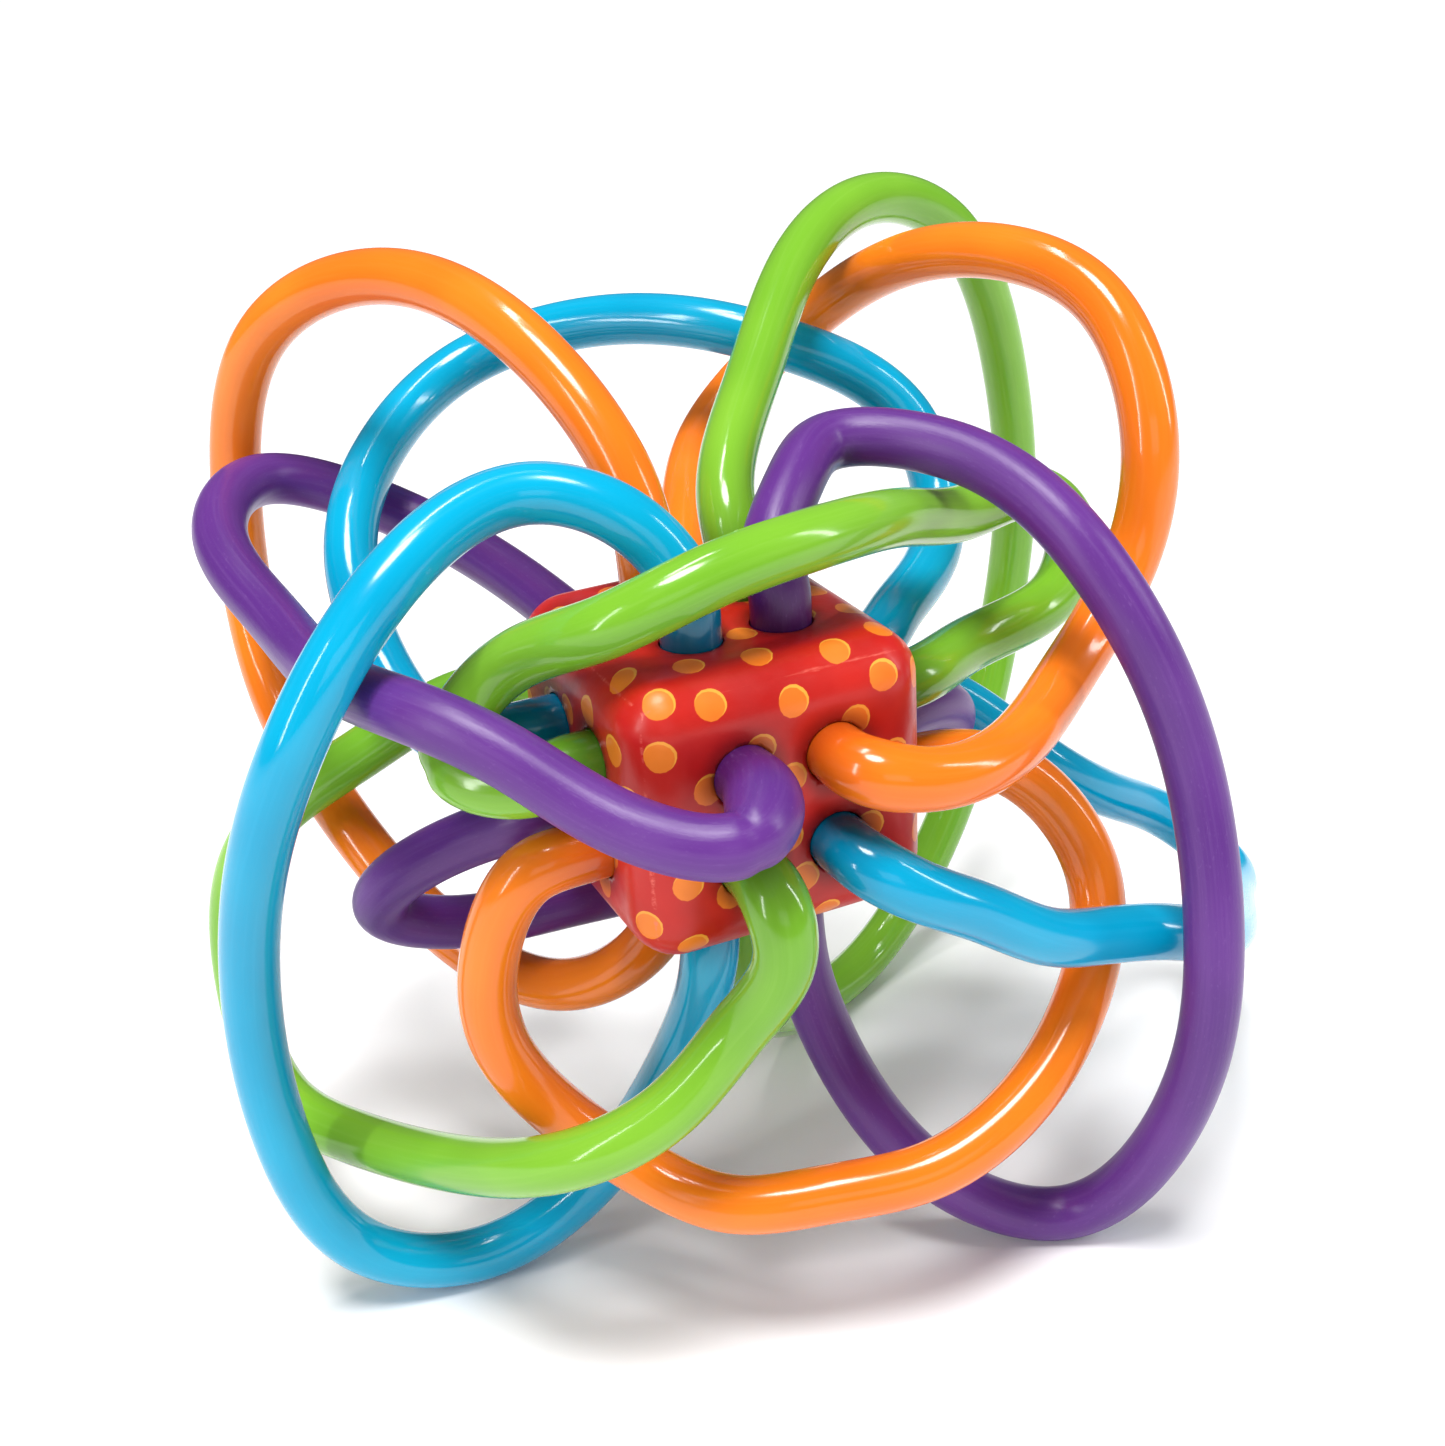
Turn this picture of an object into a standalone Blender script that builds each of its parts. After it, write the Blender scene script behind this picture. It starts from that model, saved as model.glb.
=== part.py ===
"""Baby's loop rattle: a printed hollow cube with twelve soft tubes looped through it.

Every loop leaves a hole in one face of the cube, wanders round it and goes back in at the matching
hole of the opposite face, where a flanged plug holds each end. A bead capsule sits in the middle.
Metres, +Z up. Route points are whole millimetres from the middle of the grid of holes.
"""
import math

import bmesh
import bpy
import numpy as np
from mathutils import Vector

MM = 0.001

# Cube: half sizes of the printed outside, its middle, its edge rounding and its walls' layers.
CUBE_HALF = np.array([16.9, 18.0, 15.7]) * MM
CUBE_MIDDLE = np.array([0.0, 1.3, 0.0]) * MM
EDGE_ROUNDING = 5.2 * MM
EDGE_SEGMENTS = 3
COVER_THICKNESS = 0.35 * MM
GAP = 0.3 * MM
WALL = 1.5 * MM
HOLE_OFFSET = 5.2 * MM
# Where the middle of the grid of holes stands in the world.
GRID_CENTRE = np.array([-13.1, -18.2, 67.42]) * MM

# Tubes, and the plugs that hold their ends inside the cube.
TUBE_RADIUS = 3.25 * MM
TUBE_SIDES = 8
TUBE_INSIDE = 1.0 * MM
STRAIGHT_OUTSIDE = 2.0 * MM
SOCKET_RADIUS = 1.7 * MM
SOCKET_DEPTH = 5.5 * MM
HOLE_RADIUS = TUBE_RADIUS + GAP
HOLE_SIDES = 14
FLANGE_RADIUS = 4.3 * MM
FLANGE_THICKNESS = 1.2 * MM
STEM_RADIUS = 1.35 * MM
STEM_LENGTH = 5.0 * MM
PLUG_SIDES = 9

# Bead capsule and its post, which seats in a boss under the cube's top and bottom walls.
CAPSULE_RADIUS = 8.8 * MM
CAPSULE_WALL = 1.2 * MM
POST_RADIUS = 1.3 * MM
BOSS_RADIUS = 2.6 * MM
BOSS_LENGTH = 3.0 * MM
BEAD_RADIUS = 1.8 * MM
BEAD_SPACING = 2.4 * MM
BEAD_REST = -4.1 * MM

# Base colour (linear), roughness.
FINISHES = {
    "cube_shell": ((0.50, 0.03, 0.02), 0.45),
    "printed_film": ((0.75, 0.04, 0.03), 0.40),
    "orange_tube": ((0.95, 0.22, 0.02), 0.22),
    "blue_tube": ((0.0, 0.35, 0.75), 0.22),
    "green_tube": ((0.26, 0.58, 0.07), 0.22),
    "purple_tube": ((0.19, 0.045, 0.35), 0.38),
    "plug": ((0.80, 0.80, 0.76), 0.45),
    "capsule": ((0.85, 0.85, 0.82), 0.35),
    "bead": ((0.90, 0.75, 0.10), 0.30),
}

# Each direction of loop: its axis and the names of its two ends, first end on the low side.
DIRECTIONS = {
    "crosswise": (0, ("left", "right")),
    "fore_aft": (1, ("front", "back")),
    "upright": (2, ("bottom", "top")),
}

# Loop: (first end, signs of the hole's two offsets, route points in millimetres).
LOOPS = {
    "orange_upright": ("top", (-1, 1), [
        (-5, 9, 28), (-11, 26, 43), (-21, 46, 47), (-32, 62, 38), (-37, 69, 16), (-38, 62, -5),
        (-35, 46, -18), (-26, 29, -32), (-15, 14, -34)]),
    "orange_fore_aft": ("front", (1, 1), [
        (10, -24, 4), (20, -23, 3), (36, -13, 5), (49, -7, 15), (52, -5, 28), (52, 5, 41),
        (48, 16, 45), (42, 31, 43), (34, 49, 31), (20, 47, 20), (9, 30, 9)]),
    "orange_crosswise": ("left", (-1, -1), [
        (-25, -5, -6), (-30, -3, -16), (-30, -3, -27), (-24, -5, -38), (-17, -9, -45),
        (-10, -17, -47), (0, -22, -46), (11, -25, -45), (22, -25, -41), (33, -21, -34),
        (40, -14, -21), (31, -7, -7)]),
    "blue_upright": ("top", (-1, -1), [
        (-5, -3, 22), (-9, 1, 28), (-18, 6, 31), (-32, 3, 27), (-46, 0, 12), (-53, 8, -14),
        (-53, 11, -41), (-46, 10, -59), (-32, 8, -64), (-17, 6, -56), (-7, 0, -36)]),
    "blue_crosswise": ("right", (1, 1), [
        (27, 9, 7), (39, 19, 11), (41, 30, 24), (29, 37, 33), (12, 53, 36), (-6, 63, 31),
        (-20, 56, 24), (-29, 42, 13), (-27, 24, 0)]),
    "blue_fore_aft": ("front", (1, -1), [
        (9, -24, -8), (17, -25, -13), (26, -25, -19), (34, -24, -22), (42, -24, -24),
        (50, -22, -28), (63, -12, -36), (75, 2, -42), (80, 9, -43), (76, 16, -38), (64, 15, -30),
        (51, 15, -20), (42, 21, -12), (27, 27, -6), (13, 27, -5)]),
    "green_upright": ("top", (1, 1), [
        (6, 9, 25), (16, 22, 34), (29, 35, 44), (46, 46, 48), (62, 52, 41), (74, 57, 17),
        (77, 59, -4), (74, 58, -22), (65, 52, -39), (53, 47, -55), (41, 42, -63), (25, 33, -62),
        (11, 19, -49), (6, 9, -33)]),
    "green_crosswise": ("left", (-1, 1), [
        (-23, -5, 4), (-30, 2, 5), (-25, 4, 12), (-16, -9, 21), (-6, -12, 25), (8, -10, 26),
        (22, -2, 23), (36, 6, 19), (47, 9, 18), (51, 8, 13), (48, 5, 8), (41, 2, 6), (31, 0, 5)]),
    "green_fore_aft": ("front", (-1, -1), [
        (-5, -24, -11), (-9, -21, -21), (-17, -20, -29), (-26, -17, -34), (-37, 2, -44),
        (-45, 18, -48), (-50, 28, -47), (-51, 42, -37), (-46, 41, -18), (-32, 39, -9),
        (-14, 33, -2)]),
    "purple_fore_aft": ("front", (-1, 1), [
        (-10, -27, 4), (-19, -21, 5), (-28, -11, 11), (-35, -2, 14), (-39, 17, 12), (-41, 33, 14),
        (-43, 46, 19), (-34, 61, 21), (-19, 56, 15), (-8, 36, 8)]),
    "purple_upright": ("top", (1, -1), [
        (5, -4, 22), (11, 2, 28), (18, 7, 30), (29, -2, 29), (36, -19, 19), (43, -26, -1),
        (43, -32, -21), (42, -30, -44), (34, -20, -64), (18, -13, -56), (8, -4, -34)]),
    "purple_crosswise": ("left", (1, -1), [
        (-24, 8, -7), (-32, 14, -12), (-36, 20, -20), (-28, 21, -25), (-14, 20, -26),
        (0, 19, -26), (18, 18, -24), (31, 15, -19), (37, 13, -11), (28, 7, -5)]),
}


def clear_scene():
    for old in list(bpy.data.objects):
        bpy.data.objects.remove(old, do_unlink=True)


def make_material(name):
    colour, roughness = FINISHES[name]
    material = bpy.data.materials.new(name)
    material.use_nodes = True
    surface = material.node_tree.nodes["Principled BSDF"]
    surface.inputs["Base Color"].default_value = (*colour, 1.0)
    surface.inputs["Roughness"].default_value = roughness
    return material


def add_object(name, bm, location, material=None):
    """Turn a bmesh into an object at a place measured from the middle of the grid of holes."""
    bmesh.ops.recalc_face_normals(bm, faces=bm.faces)
    mesh = bpy.data.meshes.new(name)
    bm.to_mesh(mesh)
    bm.free()
    obj = bpy.data.objects.new(name, mesh)
    bpy.context.scene.collection.objects.link(obj)
    obj.location = Vector(GRID_CENTRE + np.asarray(location))
    if material:
        mesh.materials.append(material)
    return obj


def cut(obj, cutter, operation="DIFFERENCE"):
    """Add an exact Boolean and keep its cutter as a hidden helper."""
    modifier = obj.modifiers.new(cutter.name, "BOOLEAN")
    modifier.operation = operation
    modifier.solver = "EXACT"
    modifier.object = cutter
    cutter.display_type = "WIRE"
    cutter.hide_render = True


def rounded_box(inset):
    """The cube's outside moved inwards by inset, with the same facets."""
    bm = bmesh.new()
    bmesh.ops.create_cube(bm, size=2.0)
    bmesh.ops.scale(bm, vec=Vector(CUBE_HALF - inset), verts=bm.verts)
    bmesh.ops.translate(bm, vec=Vector(CUBE_MIDDLE), verts=bm.verts)
    bmesh.ops.bevel(bm, geom=bm.edges[:], offset=EDGE_ROUNDING - inset, segments=EDGE_SEGMENTS,
                    profile=0.5, affect="EDGES")
    return bm


def lathe(profile, sides):
    """Spin (radius, height) points about Z; a zero radius is a point on the axis."""
    bm = bmesh.new()
    rings = []
    for radius, height in profile:
        count = sides if radius > 0 else 1
        ring = []
        for i in range(count):
            angle = 2 * math.pi * i / count
            ring.append(bm.verts.new((radius * math.cos(angle), radius * math.sin(angle), height)))
        rings.append(ring)
    for low, high in zip(rings, rings[1:]):
        for i in range(sides):
            corners = [low[i % len(low)], low[(i + 1) % len(low)],
                       high[(i + 1) % len(high)], high[i % len(high)]]
            bm.faces.new(list(dict.fromkeys(corners)))
    return bm


def hole_place(axis, signs):
    """Middle of the line through a pair of matching holes, from the cube's centre."""
    place = np.zeros(3)
    others = [i for i in range(3) if i != axis]
    place[others[0]] = signs[0] * HOLE_OFFSET
    place[others[1]] = signs[1] * HOLE_OFFSET
    return place


def axis_vector(axis, length):
    vector = np.zeros(3)
    vector[axis] = length
    return vector


def wall_place(axis, side):
    """Coordinate along the axis of the cube's outside on that side."""
    return CUBE_MIDDLE[axis] + side * CUBE_HALF[axis]


def tube_end(axis, side):
    """Coordinate along the axis where the tube ends, just inside the shell's wall."""
    return wall_place(axis, side) - side * (COVER_THICKNESS + GAP + WALL + TUBE_INSIDE)


def smooth_curve(points, start_direction, end_direction):
    """Clamped cubic spline through the points, sampled densely."""
    points = np.asarray(points)
    chords = np.linalg.norm(np.diff(points, axis=0), axis=1)
    steps = chords ** 0.75
    steps *= chords.sum() / steps.sum()
    count = len(points)
    matrix = np.eye(count)
    right = np.zeros((count, 3))
    right[0] = start_direction
    right[-1] = end_direction
    for i in range(1, count - 1):
        before, after = steps[i - 1], steps[i]
        matrix[i, i - 1:i + 2] = after, 2 * (after + before), before
        right[i] = 3 * (after * (points[i] - points[i - 1]) / before
                        + before * (points[i + 1] - points[i]) / after)
    slopes = np.linalg.solve(matrix, right)
    curve = []
    for i in range(count - 1):
        t = np.linspace(0, 1, 40)[:-1, None]
        curve.append((2 * t**3 - 3 * t**2 + 1) * points[i] + (3 * t**2 - 2 * t**3) * points[i + 1]
                     + steps[i] * ((t**3 - 2 * t**2 + t) * slopes[i] + (t**3 - t**2) * slopes[i + 1]))
    return np.vstack(curve + [points[-1:]])


def loop_route(first_end, signs, vias):
    """Centreline of a loop from tube end to tube end, with its axis and the axis' middle point."""
    direction = next(d for d, (_, ends) in DIRECTIONS.items() if first_end in ends)
    axis, ends = DIRECTIONS[direction]
    side = 1 if first_end == ends[1] else -1
    outward = axis_vector(axis, side)
    middle = hole_place(axis, signs)
    out = wall_place(axis, side) + side * STRAIGHT_OUTSIDE
    back = wall_place(axis, -side) - side * STRAIGHT_OUTSIDE
    points = [middle + axis_vector(axis, out)]
    points += [np.array(via) * MM for via in vias]
    points += [middle + axis_vector(axis, back)]
    curve = smooth_curve(points, outward, outward)
    first = middle + axis_vector(axis, tube_end(axis, side))
    last = middle + axis_vector(axis, tube_end(axis, -side))
    return np.vstack([first, curve, last]), middle


def ring_places(route):
    """Points along a route, closer together where it bends."""
    legs = np.diff(route, axis=0)
    lengths = np.linalg.norm(legs, axis=1)
    tangents = legs / lengths[:, None]
    turns = np.arccos(np.clip((tangents[1:] * tangents[:-1]).sum(axis=1), -1, 1))
    weight = lengths / (9 * MM)
    weight[1:] += turns * 1.25
    along = np.concatenate([[0], np.cumsum(weight[1:-1])])
    count = int(math.ceil(along[-1])) + 1
    wanted = np.linspace(0, along[-1], count)
    middle = np.stack([np.interp(wanted, along, route[1:-1, k]) for k in range(3)], axis=1)
    return np.vstack([route[:1], middle, route[-1:]])


def tube_mesh(route, middle):
    """Solid tube along a route with a blind socket in each end for its plug."""
    centres = ring_places(route)
    tangents = np.gradient(centres, axis=0)
    tangents[:2] = centres[1] - centres[0]
    tangents[-2:] = centres[-1] - centres[-2]
    tangents /= np.linalg.norm(tangents, axis=1)[:, None]
    side = Vector(tangents[0]).orthogonal()
    bm = bmesh.new()

    def ring(centre, tangent, radius):
        across = tangent.cross(side)
        verts = []
        for i in range(TUBE_SIDES):
            angle = 2 * math.pi * i / TUBE_SIDES
            offset = side * math.cos(angle) + across * math.sin(angle)
            verts.append(bm.verts.new(Vector(centre - middle) + offset * radius))
        return verts

    first = Vector(tangents[0])
    side.normalize()
    rings = [ring(centres[0] + tangents[0] * SOCKET_DEPTH, first, SOCKET_RADIUS),
             ring(centres[0], first, SOCKET_RADIUS)]
    for centre, direction in zip(centres, tangents):
        tangent = Vector(direction)
        side -= tangent * side.dot(tangent)
        side.normalize()
        rings.append(ring(centre, tangent, TUBE_RADIUS))
    last = Vector(tangents[-1])
    rings.append(ring(centres[-1], last, SOCKET_RADIUS))
    rings.append(ring(centres[-1] - tangents[-1] * SOCKET_DEPTH, last, SOCKET_RADIUS))
    for low, high in zip(rings, rings[1:]):
        for i in range(TUBE_SIDES):
            j = (i + 1) % TUBE_SIDES
            bm.faces.new((low[i], low[j], high[j], high[i]))
    bm.faces.new(rings[0])
    bm.faces.new(rings[-1])
    return bm


def add_plug(name, axis, side, middle, material):
    """Flanged plug: its stem sits in the tube's end, its flange is wider than the hole."""
    tip = FLANGE_THICKNESS + GAP + STEM_LENGTH
    profile = [(0, 0), (FLANGE_RADIUS, 0), (FLANGE_RADIUS, FLANGE_THICKNESS),
               (STEM_RADIUS, FLANGE_THICKNESS), (STEM_RADIUS, tip - 0.8 * MM),
               (STEM_RADIUS * 0.6, tip), (0, tip)]
    back_face = tube_end(axis, side) - side * (GAP + FLANGE_THICKNESS)
    place = middle + axis_vector(axis, back_face)
    plug = add_object(name, lathe(profile, PLUG_SIDES), place, material)
    plug.rotation_euler = Vector(axis_vector(axis, side)).to_track_quat("Z", "Y").to_euler()


def add_loops(materials):
    for name, (first_end, signs, vias) in LOOPS.items():
        colour, direction = name.split("_", 1)
        route, middle = loop_route(first_end, signs, vias)
        add_object(name + "_loop", tube_mesh(route, middle), middle, materials[colour + "_tube"])
        axis, ends = DIRECTIONS[direction]
        for end, side in zip(ends, (-1, 1)):
            add_plug(name + "_plug_" + end, axis, side, middle, materials["plug"])


def add_hole_cutters():
    """One helper for each direction, with the four rods that drill that direction's holes."""
    cutters = []
    for direction, (axis, _) in DIRECTIONS.items():
        turn = Vector(axis_vector(axis, 1)).to_track_quat("Z", "Y").to_matrix()
        bm = bmesh.new()
        for signs in ((-1, -1), (-1, 1), (1, -1), (1, 1)):
            rod = bmesh.ops.create_cone(bm, cap_ends=True, segments=HOLE_SIDES, radius1=HOLE_RADIUS,
                                        radius2=HOLE_RADIUS, depth=4 * CUBE_HALF[axis])["verts"]
            bmesh.ops.rotate(bm, verts=rod, matrix=turn)
            bmesh.ops.translate(bm, verts=rod, vec=Vector(hole_place(axis, signs)))
        cutters.append(add_object("hole_cutter_" + direction, bm, (0, 0, 0)))
    return cutters


def half_space(name, side):
    """Helper box that holds everything above or below the parting line."""
    bm = bmesh.new()
    bmesh.ops.create_cube(bm, size=1.0)
    size = CUBE_HALF[0] * 4
    bmesh.ops.scale(bm, vec=(size, size, size), verts=bm.verts)
    return add_object(name, bm, (0, 0, side * (size / 2 + GAP / 2)))


def add_cube(materials):
    """Printed cover over two half shells, all drilled for the tubes."""
    cutters = add_hole_cutters()
    cover = add_object("printed_cover", rounded_box(0), (0, 0, 0), materials["printed_film"])
    cover_inside = add_object("cover_inside", rounded_box(COVER_THICKNESS), (0, 0, 0))
    cut(cover, cover_inside)
    for cutter in cutters:
        cut(cover, cutter)
    shell_inset = COVER_THICKNESS + GAP
    shell_inside = add_object("shell_inside", rounded_box(shell_inset + WALL), (0, 0, 0))
    for word, side in (("upper", 1), ("lower", -1)):
        name = "cube_shell_" + word
        shell = add_object(name, rounded_box(shell_inset), (0, 0, 0), materials["cube_shell"])
        cut(shell, shell_inside)
        cut(shell, half_space(word + "_space", side), "INTERSECT")
        cut(shell, add_boss(word, side, shell_inset), "UNION")
        for cutter in cutters:
            cut(shell, cutter)


def add_boss(word, side, shell_inset):
    """Ring under the wall that takes the capsule's post."""
    top = CUBE_HALF[2] - shell_inset - WALL / 2
    bottom = CUBE_HALF[2] - shell_inset - WALL - BOSS_LENGTH
    bore = POST_RADIUS + GAP
    profile = [(bore, bottom), (BOSS_RADIUS, bottom), (BOSS_RADIUS, top), (bore, top), (bore, bottom)]
    bm = lathe(profile, 10)
    bmesh.ops.remove_doubles(bm, verts=bm.verts, dist=0.01 * MM)
    bmesh.ops.scale(bm, vec=(1, 1, side), verts=bm.verts)
    return add_object("boss_" + word, bm, (0, 0, 0))


def add_capsule(materials):
    """Two half spheres with posts, and four loose beads that rattle inside."""
    post_tip = CUBE_HALF[2] - COVER_THICKNESS - 2 * GAP - WALL
    inside = CAPSULE_RADIUS - CAPSULE_WALL
    seam = GAP / 2
    profile = [(0, post_tip), (POST_RADIUS, post_tip)]
    start = math.acos(POST_RADIUS / CAPSULE_RADIUS)
    for i in range(5):
        angle = start * (1 - i / 4)
        profile.append((CAPSULE_RADIUS * math.cos(angle), max(CAPSULE_RADIUS * math.sin(angle), seam)))
    for i in range(5):
        angle = math.pi / 2 * i / 4
        radius = inside * math.cos(angle) if i < 4 else 0
        profile.append((radius, max(inside * math.sin(angle), seam)))
    for word, side in (("upper", 1), ("lower", -1)):
        bm = lathe(profile, 12)
        bmesh.ops.scale(bm, vec=(1, 1, side), verts=bm.verts)
        add_object("rattle_capsule_" + word, bm, (0, 0, 0), materials["capsule"])
    corners = ((-1, -1), (-1, 1), (1, -1), (1, 1))
    for number, (x, y) in enumerate(corners, 1):
        bm = bmesh.new()
        bmesh.ops.create_uvsphere(bm, u_segments=8, v_segments=5, radius=BEAD_RADIUS)
        place = (x * BEAD_SPACING, y * BEAD_SPACING, BEAD_REST)
        add_object(f"rattle_bead_{number}", bm, place, materials["bead"])


def main():
    clear_scene()
    materials = {name: make_material(name) for name in FINISHES}
    add_cube(materials)
    add_capsule(materials)
    add_loops(materials)


main()
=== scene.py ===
import math

import bmesh
import bpy
import numpy as np
from mathutils import Matrix, Vector
from mathutils.kdtree import KDTree


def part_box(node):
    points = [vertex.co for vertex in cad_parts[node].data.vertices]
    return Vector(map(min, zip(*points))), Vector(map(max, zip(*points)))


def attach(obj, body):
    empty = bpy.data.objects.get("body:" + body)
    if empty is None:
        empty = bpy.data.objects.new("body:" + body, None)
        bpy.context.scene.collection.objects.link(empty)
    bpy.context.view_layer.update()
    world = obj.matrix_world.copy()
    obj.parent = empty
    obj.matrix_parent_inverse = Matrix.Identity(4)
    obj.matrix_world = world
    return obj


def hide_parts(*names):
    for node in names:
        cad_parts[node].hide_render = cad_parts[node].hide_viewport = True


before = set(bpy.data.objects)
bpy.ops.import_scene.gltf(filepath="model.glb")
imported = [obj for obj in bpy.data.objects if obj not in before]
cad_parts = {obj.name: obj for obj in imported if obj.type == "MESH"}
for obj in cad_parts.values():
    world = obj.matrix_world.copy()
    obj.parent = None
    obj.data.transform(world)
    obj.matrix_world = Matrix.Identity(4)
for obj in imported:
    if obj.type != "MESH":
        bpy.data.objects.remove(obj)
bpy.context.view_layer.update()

# Loop rattle: a printed cube with twelve soft tubes looped through it. Metres, +Z up. Route points
# are whole millimetres from the middle of the grid of holes, the same ones that the CAD uses.
MM = 0.001
CUBE_HALF = np.array([16.9, 18.0, 15.7]) * MM
CUBE_MIDDLE = np.array([0.0, 1.3, 0.0]) * MM
EDGE_ROUNDING = 5.2 * MM
COVER_THICKNESS = 0.35 * MM
HOLE_OFFSET = 5.2 * MM
TUBE_RADIUS = 3.25 * MM
INSIDE_WALL = 3.15 * MM
STRAIGHT_OUTSIDE = 2.0 * MM
SOCKET_RADIUS = 1.7 * MM
SOCKET_DEPTH = 5.5 * MM
TUBE_SIDES = 36
RING_SPACING = 1.3 * MM
RING_TURN = 0.11
# Loops' splines: how strongly a chord's length sets its share, and points on each leg.
CHORD_POWER = 0.75
LEG_POINTS = 60
# Bulges of the soft tubes near their holes: distance from the tube's end, reach, and the most that
# a tube's radius may be of its bend's.
SWELL_PLACE = 9.5 * MM
SWELL_REACH = 4.5 * MM
BEND_SHARE = 0.97
RADIUS_SMOOTHINGS = 3
FLOW_UNIT = 20 * MM

cover_low, cover_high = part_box("printed_cover")
GRID_CENTRE = (np.array(cover_low) + np.array(cover_high)) / 2 - CUBE_MIDDLE

DIRECTIONS = {
    "crosswise": (0, ("left", "right")),
    "fore_aft": (1, ("front", "back")),
    "upright": (2, ("bottom", "top")),
}

# Loop: (first end, signs of the hole's two offsets, swelling at its first and last root, route).
LOOPS = {
    "orange_upright": ("top", (-1, 1), (0.02, 0.02), [
        (-5, 9, 28), (-11, 26, 43), (-21, 46, 47), (-32, 62, 38), (-37, 69, 16), (-38, 62, -5),
        (-35, 46, -18), (-26, 29, -32), (-15, 14, -34)]),
    "orange_fore_aft": ("front", (1, 1), (0.10, 0.03), [
        (10, -24, 4), (20, -23, 3), (36, -13, 5), (49, -7, 15), (52, -5, 28), (52, 5, 41),
        (48, 16, 45), (42, 31, 43), (34, 49, 31), (20, 47, 20), (9, 30, 9)]),
    "orange_crosswise": ("left", (-1, -1), (0.04, 0.03), [
        (-25, -5, -6), (-30, -3, -16), (-30, -3, -27), (-24, -5, -38), (-17, -9, -45),
        (-10, -17, -47), (0, -22, -46), (11, -25, -45), (22, -25, -41), (33, -21, -34),
        (40, -14, -21), (31, -7, -7)]),
    "blue_upright": ("top", (-1, -1), (0.02, 0.02), [
        (-5, -3, 22), (-9, 1, 28), (-18, 6, 31), (-32, 3, 27), (-46, 0, 12), (-53, 8, -14),
        (-53, 11, -41), (-46, 10, -59), (-32, 8, -64), (-17, 6, -56), (-7, 0, -36)]),
    "blue_crosswise": ("right", (1, 1), (0.03, 0.03), [
        (27, 9, 7), (39, 19, 11), (41, 30, 24), (29, 37, 33), (12, 53, 36), (-6, 63, 31),
        (-20, 56, 24), (-29, 42, 13), (-27, 24, 0)]),
    "blue_fore_aft": ("front", (1, -1), (0.05, 0.03), [
        (9, -24, -8), (17, -25, -13), (26, -25, -19), (34, -24, -22), (42, -24, -24),
        (50, -22, -28), (63, -12, -36), (75, 2, -42), (80, 9, -43), (76, 16, -38), (64, 15, -30),
        (51, 15, -20), (42, 21, -12), (27, 27, -6), (13, 27, -5)]),
    "green_upright": ("top", (1, 1), (0.02, 0.02), [
        (6, 9, 25), (16, 22, 34), (29, 35, 44), (46, 46, 48), (62, 52, 41), (74, 57, 17),
        (77, 59, -4), (74, 58, -22), (65, 52, -39), (53, 47, -55), (41, 42, -63), (25, 33, -62),
        (11, 19, -49), (6, 9, -33)]),
    "green_crosswise": ("left", (-1, 1), (0.03, 0.03), [
        (-23, -5, 4), (-30, 2, 5), (-25, 4, 12), (-16, -9, 21), (-6, -12, 25), (8, -10, 26),
        (22, -2, 23), (36, 6, 19), (47, 9, 18), (51, 8, 13), (48, 5, 8), (41, 2, 6), (31, 0, 5)]),
    "green_fore_aft": ("front", (-1, -1), (0.09, 0.03), [
        (-5, -24, -11), (-9, -21, -21), (-17, -20, -29), (-26, -17, -34), (-37, 2, -44),
        (-45, 18, -48), (-50, 28, -47), (-51, 42, -37), (-46, 41, -18), (-32, 39, -9),
        (-14, 33, -2)]),
    "purple_fore_aft": ("front", (-1, 1), (0.22, 0.03), [
        (-10, -27, 4), (-19, -21, 5), (-28, -11, 11), (-35, -2, 14), (-39, 17, 12), (-41, 33, 14),
        (-43, 46, 19), (-34, 61, 21), (-19, 56, 15), (-8, 36, 8)]),
    "purple_upright": ("top", (1, -1), (0.03, 0.03), [
        (5, -4, 22), (11, 2, 28), (18, 7, 30), (29, -2, 29), (36, -19, 19), (43, -26, -1),
        (43, -32, -21), (42, -30, -44), (34, -20, -64), (18, -13, -56), (8, -4, -34)]),
    "purple_crosswise": ("left", (1, -1), (0.03, 0.03), [
        (-24, 8, -7), (-32, 14, -12), (-36, 20, -20), (-28, 21, -25), (-14, 20, -26),
        (0, 19, -26), (18, 18, -24), (31, 15, -19), (37, 13, -11), (28, 7, -5)]),
}

# Printed dots, scattered over the whole cube at random, none nearer to another than the spacing.
DOT_RADIUS = 1.65 * MM
DOT_SPACING = 5.2 * MM
DOT_TRIES = 6000
DOT_SEED = 11


def axis_vector(axis, length):
    vector = np.zeros(3)
    vector[axis] = length
    return vector


def hole_place(axis, signs):
    place = np.zeros(3)
    others = [i for i in range(3) if i != axis]
    place[others[0]] = signs[0] * HOLE_OFFSET
    place[others[1]] = signs[1] * HOLE_OFFSET
    return place


def wall_place(axis, side):
    return CUBE_MIDDLE[axis] + side * CUBE_HALF[axis]


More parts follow.
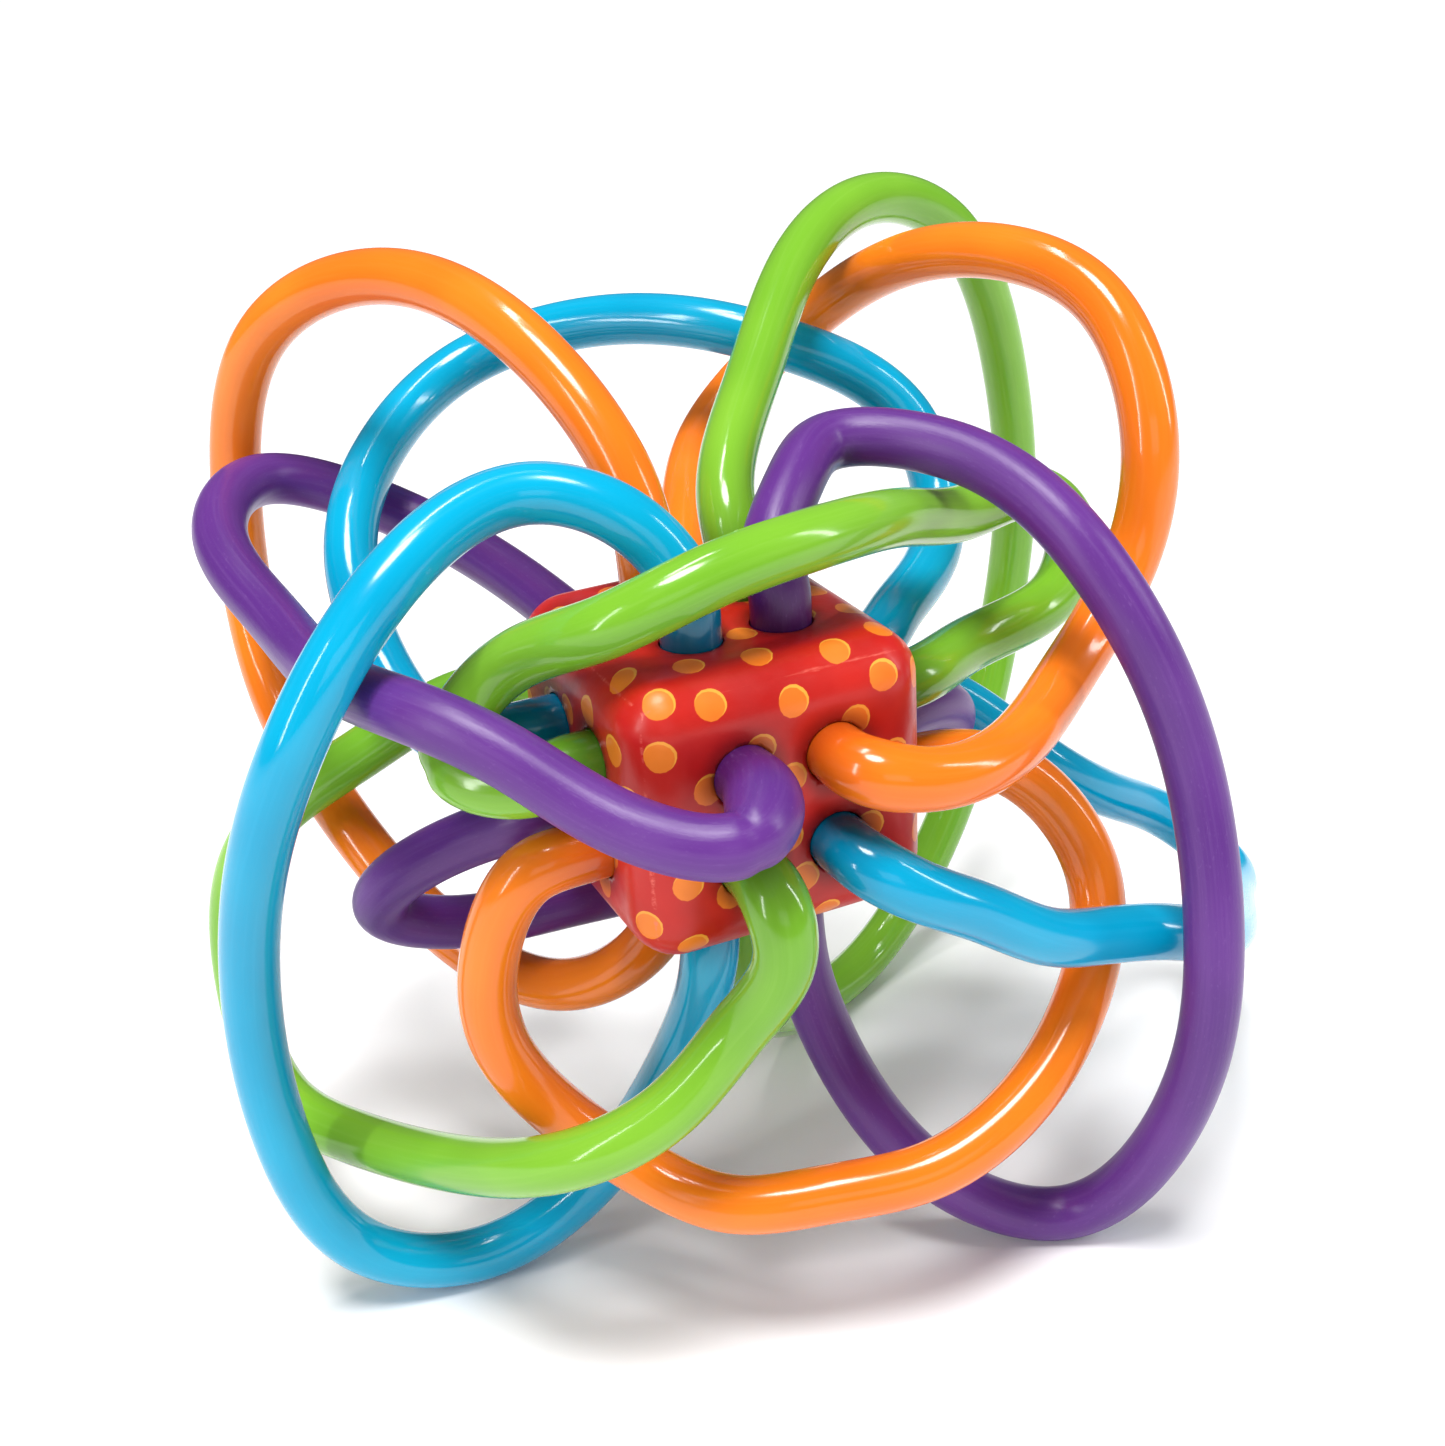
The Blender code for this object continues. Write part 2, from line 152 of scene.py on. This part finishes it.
def smooth_curve(points, start_direction, end_direction):
    """Clamped cubic spline through the points, sampled densely."""
    points = np.asarray(points)
    chords = np.linalg.norm(np.diff(points, axis=0), axis=1)
    steps = chords ** CHORD_POWER
    steps *= chords.sum() / steps.sum()
    count = len(points)
    matrix = np.eye(count)
    right = np.zeros((count, 3))
    right[0] = start_direction
    right[-1] = end_direction
    for i in range(1, count - 1):
        before, after = steps[i - 1], steps[i]
        matrix[i, i - 1:i + 2] = after, 2 * (after + before), before
        right[i] = 3 * (after * (points[i] - points[i - 1]) / before
                        + before * (points[i + 1] - points[i]) / after)
    slopes = np.linalg.solve(matrix, right)
    curve = []
    for i in range(count - 1):
        t = np.linspace(0, 1, LEG_POINTS)[:-1, None]
        curve.append((2 * t**3 - 3 * t**2 + 1) * points[i] + (3 * t**2 - 2 * t**3) * points[i + 1]
                     + steps[i] * ((t**3 - 2 * t**2 + t) * slopes[i] + (t**3 - t**2) * slopes[i + 1]))
    return np.vstack(curve + [points[-1:]])


def loop_route(first_end, signs, vias):
    """Centreline of a loop from tube end to tube end."""
    direction = next(d for d, (_, ends) in DIRECTIONS.items() if first_end in ends)
    axis, ends = DIRECTIONS[direction]
    side = 1 if first_end == ends[1] else -1
    outward = axis_vector(axis, side)
    middle = hole_place(axis, signs)
    points = [middle + axis_vector(axis, wall_place(axis, side) + side * STRAIGHT_OUTSIDE)]
    points += [np.array(via) * MM for via in vias]
    points += [middle + axis_vector(axis, wall_place(axis, -side) - side * STRAIGHT_OUTSIDE)]
    curve = smooth_curve(points, outward, outward)
    first = middle + axis_vector(axis, wall_place(axis, side) - side * INSIDE_WALL)
    last = middle + axis_vector(axis, wall_place(axis, -side) + side * INSIDE_WALL)
    return np.vstack([first, curve, last])


def even_route(route):
    """The route's points spread evenly, closer together where it bends, with their distances."""
    legs = np.diff(route, axis=0)
    lengths = np.linalg.norm(legs, axis=1)
    tangents = legs / lengths[:, None]
    turns = np.arccos(np.clip((tangents[1:] * tangents[:-1]).sum(axis=1), -1, 1))
    weight = lengths / RING_SPACING
    weight[1:] += turns / RING_TURN
    along = np.concatenate([[0], np.cumsum(weight)])
    distance = np.concatenate([[0], np.cumsum(lengths)])
    wanted = np.linspace(0, along[-1], int(math.ceil(along[-1])) + 1)
    places = np.stack([np.interp(wanted, along, route[:, k]) for k in range(3)], axis=1)
    return places, np.interp(wanted, along, distance)


def new_object(name, bm, material, body):
    bmesh.ops.recalc_face_normals(bm, faces=bm.faces)
    mesh = bpy.data.meshes.new(name)
    bm.to_mesh(mesh)
    bm.free()
    for polygon in mesh.polygons:
        polygon.use_smooth = True
    mesh.materials.append(material)
    obj = bpy.data.objects.new(name, mesh)
    bpy.context.scene.collection.objects.link(obj)
    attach(obj, body)
    return obj


def swelling(distance, total, first, last):
    """How much wider than usual a tube is: soft tubes bulge just outside their holes."""
    factor = np.ones_like(distance)
    for amount, out in ((first, distance), (last, total - distance)):
        factor += amount * np.exp(-((out - SWELL_PLACE) / SWELL_REACH) ** 2)
    return factor


def add_tube(name, first_end, signs, roots, vias, material):
    """One loop's tube, with a blind socket in each end, standing for the CAD's tube."""
    route = loop_route(first_end, signs, vias)
    centres, distance = even_route(route)
    tangents = np.gradient(centres, axis=0)
    tangents[0] = centres[1] - centres[0]
    tangents[-1] = centres[-1] - centres[-2]
    tangents /= np.linalg.norm(tangents, axis=1)[:, None]
    radii = TUBE_RADIUS * swelling(distance, distance[-1], *roots)
    bend = np.linalg.norm(np.gradient(tangents, axis=0), axis=1) / np.gradient(distance)
    radii = np.minimum(radii, BEND_SHARE / np.maximum(bend, 1.0))
    for _ in range(RADIUS_SMOOTHINGS):
        radii[1:-1] = (radii[:-2] + 2 * radii[1:-1] + radii[2:]) / 4
    side = Vector(tangents[0]).orthogonal().normalized()
    bm = bmesh.new()
    flow = bm.verts.layers.float_vector.new("flow")
    root = bm.verts.layers.float.new("root")

    def ring(centre, tangent, radius, along):
        across = tangent.cross(side)
        verts = []
        for i in range(TUBE_SIDES):
            angle = 2 * math.pi * i / TUBE_SIDES
            offset = side * math.cos(angle) + across * math.sin(angle)
            vert = bm.verts.new(Vector(centre + GRID_CENTRE) + offset * radius)
            vert[flow] = (math.cos(angle), math.sin(angle), along / FLOW_UNIT)
            vert[root] = (min(along, distance[-1] - along) - INSIDE_WALL) / MM
            verts.append(vert)
        return verts

    first = Vector(tangents[0])
    rings = [ring(centres[0] + tangents[0] * SOCKET_DEPTH, first, SOCKET_RADIUS, 0),
             ring(centres[0], first, SOCKET_RADIUS, 0)]
    for centre, direction, radius, along in zip(centres, tangents, radii, distance):
        tangent = Vector(direction)
        side -= tangent * side.dot(tangent)
        side.normalize()
        rings.append(ring(centre, tangent, radius, along))
    last = Vector(tangents[-1])
    rings.append(ring(centres[-1], last, SOCKET_RADIUS, distance[-1]))
    rings.append(ring(centres[-1] - tangents[-1] * SOCKET_DEPTH, last, SOCKET_RADIUS, distance[-1]))
    for low, high in zip(rings, rings[1:]):
        for i in range(TUBE_SIDES):
            j = (i + 1) % TUBE_SIDES
            bm.faces.new((low[i], low[j], high[j], high[i]))
    bm.faces.new(rings[0])
    bm.faces.new(rings[-1])
    tube = new_object(name + "_tube", bm, material, name + "_loop")
    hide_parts(name + "_loop")


# Cube: the film is a fine rounded box, a little crowned, that dips in round each hole.
COVER_STEPS = 52
CROWN = 0.55 * MM
DIP = 0.45 * MM
DIP_REACH = 2.2 * MM
FILM_HOLE = 3.42 * MM
ROD_SIDES = 40
ROD_LENGTH = 8 * MM
UNDERPRINT_SHIFT = np.array([0.16, 0.05, 0.2]) * MM


def cover_point(unit, inset):
    """Point of the rounded box for a point of the unit cube, moved inwards by inset."""
    rounding = EDGE_ROUNDING - inset
    scaled = unit * (CUBE_HALF - inset)
    core = np.clip(scaled, -(CUBE_HALF - EDGE_ROUNDING), CUBE_HALF - EDGE_ROUNDING)
    out = scaled - core
    normal = out / np.linalg.norm(out)
    point = core + normal * rounding
    axis = int(np.argmax(np.abs(unit)))
    across = [i for i in range(3) if i != axis]
    fall = (1 - unit[across[0]] ** 2) * (1 - unit[across[1]] ** 2)
    point += normal * CROWN * fall
    point += CUBE_MIDDLE
    for first in (-1, 1):
        for second in (-1, 1):
            hole = hole_place(axis, (first, second))
            gap = math.hypot(*(point - hole)[across]) - TUBE_RADIUS
            point -= normal * DIP * math.exp(-max(gap, 0) / DIP_REACH) * fall
    return point


def cover_box(inset):
    bm = bmesh.new()
    bmesh.ops.create_cube(bm, size=2.0)
    bmesh.ops.subdivide_edges(bm, edges=bm.edges[:], cuts=COVER_STEPS - 1, use_grid_fill=True)
    for vert in bm.verts:
        point = cover_point(np.array(vert.co), inset)
        vert.co = Vector(point + GRID_CENTRE)
    bmesh.ops.recalc_face_normals(bm, faces=bm.faces)
    return bm


def helper_object(name, bm):
    mesh = bpy.data.meshes.new(name)
    bm.to_mesh(mesh)
    bm.free()
    obj = bpy.data.objects.new(name, mesh)
    bpy.context.scene.collection.objects.link(obj)
    return obj


def drill_rods():
    """Cutter: a short rod through the film at each of its holes."""
    bm = bmesh.new()
    for axis, _ in DIRECTIONS.values():
        turn = Vector(axis_vector(axis, 1)).to_track_quat("Z", "Y").to_matrix()
        for signs in ((-1, -1), (-1, 1), (1, -1), (1, 1)):
            for side in (-1, 1):
                made = bmesh.ops.create_cone(bm, cap_ends=True, segments=ROD_SIDES, radius1=FILM_HOLE,
                                             radius2=FILM_HOLE, depth=ROD_LENGTH)["verts"]
                bmesh.ops.rotate(bm, verts=made, matrix=turn)
                place = hole_place(axis, signs) + axis_vector(axis, wall_place(axis, side))
                bmesh.ops.translate(bm, verts=made, vec=Vector(place + GRID_CENTRE))
    return bm


def dot_places():
    """Centres of the printed dots on the cube's outside."""
    dots = []
    generator = np.random.default_rng(DOT_SEED)
    for _ in range(DOT_TRIES):
        unit = generator.uniform(-1, 1, 3)
        axis = generator.integers(3)
        unit[axis] = generator.choice((-1, 1))
        point = cover_point(unit, 0)
        if all(np.linalg.norm(point - dot) > DOT_SPACING for dot in dots):
            dots.append(point)
    return dots


def add_film(material):
    """The printed film: a closed thin shell with its holes, carrying the print as attributes."""
    outside = helper_object("printed_film", cover_box(0))
    inside = helper_object("film_inside", cover_box(COVER_THICKNESS))
    rods = helper_object("film_rods", drill_rods())
    for cutter in (inside, rods):
        modifier = outside.modifiers.new(cutter.name, "BOOLEAN")
        modifier.operation = "DIFFERENCE"
        modifier.solver = "EXACT"
        modifier.object = cutter
    graph = bpy.context.evaluated_depsgraph_get()
    mesh = bpy.data.meshes.new_from_object(outside.evaluated_get(graph))
    outside.modifiers.clear()
    outside.data = mesh
    for cutter in (inside, rods):
        bpy.data.objects.remove(cutter, do_unlink=True)
    places = np.array([vert.co for vert in mesh.vertices]) - GRID_CENTRE
    print_attributes(mesh, places)
    for polygon in mesh.polygons:
        polygon.use_smooth = True
    mesh.materials.clear()
    mesh.materials.append(material)
    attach(outside, "cube")
    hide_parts("printed_cover")


def print_attributes(mesh, places):
    """Distances in millimetres to the nearest dot, to its shifted underprint, and to the nearest
    edge's crest, and from each hole's tube."""
    dots = dot_places()
    values = {"dot": [], "under": [], "crest": [], "hole": []}
    trees = []
    for offset in (np.zeros(3), UNDERPRINT_SHIFT):
        tree = KDTree(len(dots))
        for i, dot in enumerate(dots):
            tree.insert(Vector(dot + offset), i)
        tree.balance()
        trees.append(tree)
    for place in places:
        values["dot"].append(trees[0].find(Vector(place))[2] / MM)
        values["under"].append(trees[1].find(Vector(place))[2] / MM)
        local = place - CUBE_MIDDLE
        out = np.sort(np.abs(local - np.clip(local, EDGE_ROUNDING - CUBE_HALF,
                                             CUBE_HALF - EDGE_ROUNDING)))[::-1]
        crest = abs(math.atan2(out[0], max(out[1], 1e-9)) - math.pi / 4)
        values["crest"].append(crest * EDGE_ROUNDING / MM)
        axis = int(np.argmax(np.abs(local) / CUBE_HALF))
        across = [i for i in range(3) if i != axis]
        gaps = [math.hypot(*(place - hole_place(axis, (a, b)))[across])
                for a in (-1, 1) for b in (-1, 1)]
        values["hole"].append((min(gaps) - TUBE_RADIUS) / MM)
    for name, row in values.items():
        layer = mesh.attributes.new(name, "FLOAT", "POINT")
        layer.data.foreach_set("value", np.array(row, dtype=np.float32))


class Surface:
    """Node helper for one procedural material."""

    def __init__(self, name, **constants):
        self.material = bpy.data.materials.new(name)
        self.material.use_nodes = True
        self.tree = self.material.node_tree
        self.shader = self.tree.nodes["Principled BSDF"]
        for socket, value in constants.items():
            self.shader.inputs[socket.replace("_", " ")].default_value = value

    def node(self, kind, inputs=(), **settings):
        made = self.tree.nodes.new("ShaderNode" + kind)
        for key, value in settings.items():
            setattr(made, key, value)
        for key, value in dict(inputs).items():
            if isinstance(value, bpy.types.NodeSocket):
                self.tree.links.new(value, made.inputs[key])
            else:
                made.inputs[key].default_value = value
        return made

    def attribute(self, name, output="Fac"):
        return self.node("Attribute", attribute_name=name).outputs[output]

    def place(self):
        return self.node("TexCoord").outputs["Object"]

    def noise(self, vector, scale, detail=3.0, roughness=0.55):
        made = self.node("TexNoise", {"Vector": vector, "Scale": scale, "Detail": detail,
                                      "Roughness": roughness})
        return made.outputs["Fac"]

    def stretch(self, vector, factors):
        return self.node("Mapping", {"Vector": vector, "Scale": factors}).outputs["Vector"]

    def band(self, value, low, high, start=0.0, end=1.0):
        made = self.node("MapRange", {"Value": value, "From Min": low, "From Max": high,
                                      "To Min": start, "To Max": end}, interpolation_type="SMOOTHSTEP")
        return made.outputs["Result"]

    def math(self, operation, first, second=0.0):
        return self.node("Math", {0: first, 1: second}, operation=operation).outputs[0]

    def mix(self, factor, first, second):
        return self.node("MixRGB", {"Fac": factor, "Color1": first, "Color2": second}).outputs["Color"]

    def finish(self, colour, roughness, heights):
        """Connects colour and roughness, and chains one bump for each (height, strength, depth)."""
        self.tree.links.new(colour, self.shader.inputs["Base Color"])
        self.tree.links.new(roughness, self.shader.inputs["Roughness"])
        normal = None
        for height, strength, depth in heights:
            inputs = {"Height": height, "Strength": strength, "Distance": depth}
            if normal:
                inputs["Normal"] = normal
            normal = self.node("Bump", inputs).outputs["Normal"]
        if normal:
            self.tree.links.new(normal, self.shader.inputs["Normal"])
        return self.material


def rgba(red, green, blue):
    """Linear colour from eight-bit display values."""
    linear = []
    for value in (red, green, blue):
        value /= 255
        linear.append(value / 12.92 if value <= 0.04045 else ((value + 0.055) / 1.055) ** 2.4)
    return (*linear, 1.0)


def tube_material(name, colour, deep, light, root, gloss, bumps, coat):
    """Soft extruded plastic: drifting colour, lengthwise draw lines, fine scuffs with some painted sheen,
    and painted shade at the roots.
    """
    smooth, rough = gloss
    surface = Surface(name, IOR=1.47, Specular_IOR_Level=0.4, Coat_Weight=coat, Coat_Roughness=0.05)
    place = surface.place()
    flow = surface.attribute("flow", "Vector")
    drift = surface.noise(place, 38, 2.0)
    lines = surface.noise(surface.stretch(flow, (3.0, 3.0, 0.5)), 2.2, 4.0)
    grain = surface.noise(place, 1400, 2.0)
    scuffs = surface.noise(surface.stretch(flow, (4.0, 4.0, 9.0)), 2.5, 6.0, 0.7)
    shade = surface.mix(surface.band(drift, 0.35, 0.7), deep, colour)
    shade = surface.mix(surface.band(lines, 0.45, 0.75, 0.0, 0.10), shade, light)
    # Painted shade: within a few millimetres of the cube the colour turns to the root colour.
    root_painted_shade = surface.band(surface.attribute("root"), 0.3, 8.0, 0.75, 0.0)
    shade = surface.mix(root_painted_shade, shade, root)
    # Scuffs are painted in the lighter tone: partly real wear, partly a painted highlight for the mottled
    # sheen, strongest on purple.
    scuffs_and_sheen = surface.band(scuffs, 0.55, 0.75)
    shade = surface.mix(surface.math("MULTIPLY", scuffs_and_sheen, bumps[1]), shade, light)
    roughness = surface.math("ADD", surface.band(lines, 0.35, 0.7, smooth, (smooth + rough) / 2),
                             surface.math("MULTIPLY", scuffs_and_sheen, (rough - smooth) / 2))
    return surface.finish(shade, roughness, [(lines, bumps[0], 0.12 * MM), (scuffs, bumps[0], 0.1 * MM),
                                             (grain, bumps[0] * 0.5, 0.05 * MM)])


def film_material():
    """Red film with orange dots over a yellow underprint, with a painted highlight along its crests and
    painted shade round its holes.
    """
    surface = Surface("red_dotted_film", IOR=1.46, Specular_IOR_Level=0.35, Coat_Weight=0.15,
                      Coat_Roughness=0.2)
    place = surface.place()
    cloud = surface.noise(place, 90, 3.0)
    ripple = surface.noise(place, 260, 4.0)
    speckle = surface.noise(place, 2600, 2.0)
    red = surface.mix(surface.band(cloud, 0.3, 0.7), rgba(176, 22, 18), rgba(196, 32, 22))
    red = surface.mix(surface.band(speckle, 0.5, 0.75, 0.0, 0.25), red, rgba(190, 24, 24))
    wobble = surface.math("MULTIPLY", surface.math("SUBTRACT", surface.noise(place, 700, 2.0), 0.5), 0.22)
    limit = DOT_RADIUS / MM
    under = surface.math("ADD", surface.attribute("under"), wobble)
    dot = surface.math("ADD", surface.attribute("dot"), wobble)
    shade = surface.mix(surface.band(under, limit - 0.03, limit + 0.05, 1.0, 0.0), red,
                        rgba(244, 164, 58))
    orange = surface.mix(surface.band(cloud, 0.35, 0.65), rgba(226, 112, 30), rgba(238, 128, 38))
    shade = surface.mix(surface.band(dot, limit - 0.13, limit - 0.04, 1.0, 0.0), shade, orange)
    # Painted highlight: a pale pink line along each rounded edge's crest, broken into streaks.
    crest_highlight_streaks = surface.noise(surface.stretch(place, (120, 900, 900)), 1.0, 5.0, 0.7)
    crest = surface.math("ADD", surface.attribute("crest"),
                         surface.math("MULTIPLY", surface.noise(place, 500, 3.0), 0.7))
    painted_crest_highlight = surface.band(crest, 0.3, 0.62, 1.0, 0.0)
    painted_crest_highlight = surface.math("MULTIPLY", painted_crest_highlight, surface.band(crest_highlight_streaks, 0.45, 0.62))
    shade = surface.mix(surface.math("MULTIPLY", painted_crest_highlight, 0.6), shade, rgba(236, 120, 104))
    # Painted shade: the film turns deep red within a few millimetres of each tube.
    hole_painted_shade = surface.band(surface.attribute("hole"), 0.1, 2.6, 0.6, 0.0)
    shade = surface.mix(hole_painted_shade, shade, rgba(96, 14, 16))
    roughness = surface.band(ripple, 0.3, 0.7, 0.3, 0.46)
    return surface.finish(shade, roughness, [(ripple, 0.35, 0.25 * MM), (speckle, 0.12, 0.04 * MM)])


def moulded_material(name, colour, dark, roughness):
    """Plain moulded plastic with a faint flow pattern and fine spark texture, for inside parts."""
    surface = Surface(name, IOR=1.5)
    place = surface.place()
    cloud = surface.noise(place, 120, 3.0)
    spark = surface.noise(place, 3000, 3.0)
    shade = surface.mix(surface.band(cloud, 0.3, 0.7), dark, colour)
    rough = surface.band(spark, 0.3, 0.7, roughness - 0.08, roughness + 0.08)
    return surface.finish(shade, rough, [(cloud, 0.1, 0.1 * MM), (spark, 0.3, 0.04 * MM)])


# Tube colours: own colour, darker and lighter tones, and the painted shade at the roots (for purple also
# a painted magenta tint of light thrown back from the red cube).
TUBES = {
    "orange": tube_material("orange_soft_plastic", rgba(246, 130, 30), rgba(240, 116, 24),
                            rgba(250, 150, 58), rgba(160, 52, 14), (0.13, 0.26), (0.03, 0.05), 0.2),
    "blue": tube_material("blue_soft_plastic", rgba(0, 166, 206), rgba(0, 152, 194),
                          rgba(50, 184, 226), rgba(0, 66, 104), (0.12, 0.25), (0.03, 0.05), 0.2),
    "green": tube_material("green_soft_plastic", rgba(126, 184, 50), rgba(112, 172, 42),
                           rgba(160, 208, 92), rgba(46, 84, 22), (0.13, 0.26), (0.03, 0.05), 0.2),
    "purple": tube_material("purple_soft_plastic", rgba(98, 48, 134), rgba(86, 40, 122),
                            rgba(142, 102, 170), rgba(64, 10, 66), (0.3, 0.5), (0.22, 0.22), 0.0),
}
for loop, (first_end, signs, roots, vias) in LOOPS.items():
    add_tube(loop, first_end, signs, roots, vias, TUBES[loop.split("_")[0]])
add_film(film_material())

INSIDE = {
    "cube_shell": moulded_material("shell_plastic", rgba(196, 44, 36), rgba(150, 26, 24), 0.5),
    "rattle_capsule": moulded_material("capsule_plastic", rgba(236, 234, 226), rgba(214, 210, 200), 0.4),
    "rattle_bead": moulded_material("bead_plastic", rgba(244, 206, 60), rgba(226, 176, 40), 0.32),
    "plug": moulded_material("plug_plastic", rgba(226, 226, 218), rgba(200, 200, 192), 0.45),
}
for name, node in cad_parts.items():
    for word, material in INSIDE.items():
        if word in name:
            node.material_slots[0].material = material

# Stage: a plain floor, soft lights and the camera.
FLOOR_HALF = 6.0
WORLD_LIGHT = 0.32
WORLD_REFLECTED = 0.12
SUN_POWER = 2.8
SUN_ANGLE = math.radians(20)
SUN_DIRECTION = Vector((0.16, 0.2, -1))
# The camera's place from the middle of the grid of holes, its turn to the right, its tilt down, its
# roll, and its lens in millimetres on a sensor of that width.
CAMERA_PLACE = Vector((-71.6, -163.4, 87.2)) * MM
CAMERA_TURN = math.radians(23.68)
CAMERA_TILT = math.radians(25.265)
CAMERA_ROLL = math.radians(-3.44)
CAMERA_LENS = 44.813
CAMERA_SENSOR = 36

floor_mesh = bpy.data.meshes.new("floor")
corners = [(x * FLOOR_HALF, y * FLOOR_HALF, 0) for x, y in ((-1, -1), (1, -1), (1, 1), (-1, 1))]
floor_mesh.from_pydata(corners, [], [(0, 1, 2, 3)])
floor = bpy.data.objects.new("floor", floor_mesh)
bpy.context.scene.collection.objects.link(floor)
floor_surface = Surface("pale_floor")
floor_surface.shader.inputs["Base Color"].default_value = (0.93, 0.93, 0.94, 1)
floor_surface.shader.inputs["Roughness"].default_value = 0.9
floor_surface.shader.inputs["Specular IOR Level"].default_value = 0.1
floor_mesh.materials.append(floor_surface.material)

world = bpy.data.worlds.new("studio")
bpy.context.scene.world = world
world.use_nodes = True
world.node_tree.nodes["Background"].inputs["Color"].default_value = (1.0, 1.0, 1.0, 1)
glossy = world.node_tree.nodes.new("ShaderNodeLightPath").outputs["Is Glossy Ray"]
dim = world.node_tree.nodes.new("ShaderNodeMath")
dim.operation = "MULTIPLY_ADD"
dim.inputs[1].default_value = WORLD_REFLECTED - WORLD_LIGHT
dim.inputs[2].default_value = WORLD_LIGHT
world.node_tree.links.new(glossy, dim.inputs[0])
world.node_tree.links.new(dim.outputs[0], world.node_tree.nodes["Background"].inputs["Strength"])


def add_light(name, place, width, height, power):
    """Soft box aimed at the cube; place is in metres from the middle of the grid of holes."""
    data = bpy.data.lights.new(name, "AREA")
    data.shape = "RECTANGLE"
    data.size = width
    data.size_y = height
    data.energy = power
    light = bpy.data.objects.new(name, data)
    bpy.context.scene.collection.objects.link(light)
    light.location = Vector(GRID_CENTRE) + Vector(place)
    light.rotation_euler = (-Vector(place)).to_track_quat("-Z", "Y").to_euler()


add_light("top_strip", (-0.05, 0.1, 0.75), 0.26, 0.06, 1.5)
add_light("left_strip", (-0.75, -0.25, 0.35), 0.06, 0.6, 2.2)
add_light("right_strip", (0.62, -0.35, 0.4), 0.06, 0.55, 2.0)
add_light("front_fill", (-0.2, -0.9, 0.35), 0.5, 0.3, 0.5)
sun_data = bpy.data.lights.new("sky_panel", "SUN")
sun_data.energy = SUN_POWER
sun_data.angle = SUN_ANGLE
sun = bpy.data.objects.new("sky_panel", sun_data)
bpy.context.scene.collection.objects.link(sun)
sun.rotation_euler = SUN_DIRECTION.to_track_quat("-Z", "Y").to_euler()

camera_data = bpy.data.cameras.new("camera")
camera_data.sensor_width = CAMERA_SENSOR
camera_data.lens = CAMERA_LENS
camera_data.clip_start = 0.005
camera = bpy.data.objects.new("camera", camera_data)
bpy.context.scene.collection.objects.link(camera)
turn = (Matrix.Rotation(-CAMERA_TURN, 4, "Z") @ Matrix.Rotation(math.pi / 2 - CAMERA_TILT, 4, "X")
        @ Matrix.Rotation(CAMERA_ROLL, 4, "Z"))
camera.matrix_world = Matrix.Translation(Vector(GRID_CENTRE) + CAMERA_PLACE) @ turn
bpy.context.scene.camera = camera
bpy.context.scene.view_settings.view_transform = "Standard"
